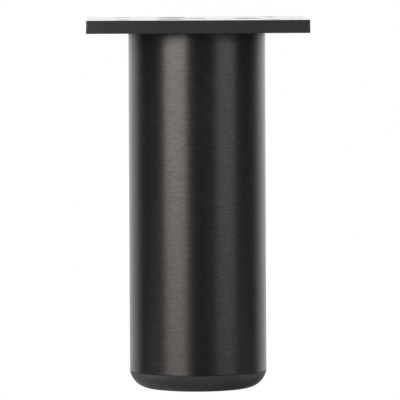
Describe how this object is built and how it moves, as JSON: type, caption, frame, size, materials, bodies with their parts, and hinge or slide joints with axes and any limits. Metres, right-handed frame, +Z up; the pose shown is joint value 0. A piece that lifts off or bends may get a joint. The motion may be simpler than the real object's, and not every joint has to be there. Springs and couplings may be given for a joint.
{
  "type": "adjustable furniture leg",
  "caption": "Round black brushed tube leg under a square screw-on plate, with a moulded foot that winds in and out on a screw to level furniture.",
  "frame": {"origin": "centre of the foot's floor face, on the tube's axis, with the foot wound fully in", "axes": "+Z up along the tube's axis, +X and +Y along the sides of the square plate, the viewer of the picture stands at -Y"},
  "size_m": [0.08, 0.08, 0.135],
  "materials": {
    "plate_coat": "satin black coat",
    "blackened_screw": "black oxide",
    "cast_aluminium": "as cast",
    "brushed_tube": "black, finely brushed round the girth",
    "moulded_nylon": "moulded, matt",
    "zinc_plate": "bright zinc plate",
    "foot_plastic": "moulded, fine matt texture"
  },
  "bodies": {
    "leg": {"mounting_plate": "plate_coat", "plate_screws": "blackened_screw", "top_insert": "cast_aluminium", "tube": "brushed_tube", "bottom_insert": "moulded_nylon", "thread_nut": "zinc_plate"},
    "levelling_screw": {"levelling_screw": "zinc_plate"},
    "foot": {"foot": "foot_plastic"}
  },
  "joints": [
    {"name": "foot_height", "type": "slide", "parent": "leg", "child": "levelling_screw", "axis": [0, 0, -1], "range_m": [0, 0.015]},
    {"name": "foot_turn", "type": "hinge", "parent": "levelling_screw", "child": "foot", "pos_m": [0, 0, 0], "axis": [0, 0, -1], "range_deg": [0, 3600]}
  ],
  "couplings": [
    {"joint": "foot_height", "follows": "foot_turn", "m_per_rad": 0.00023873}
  ]
}
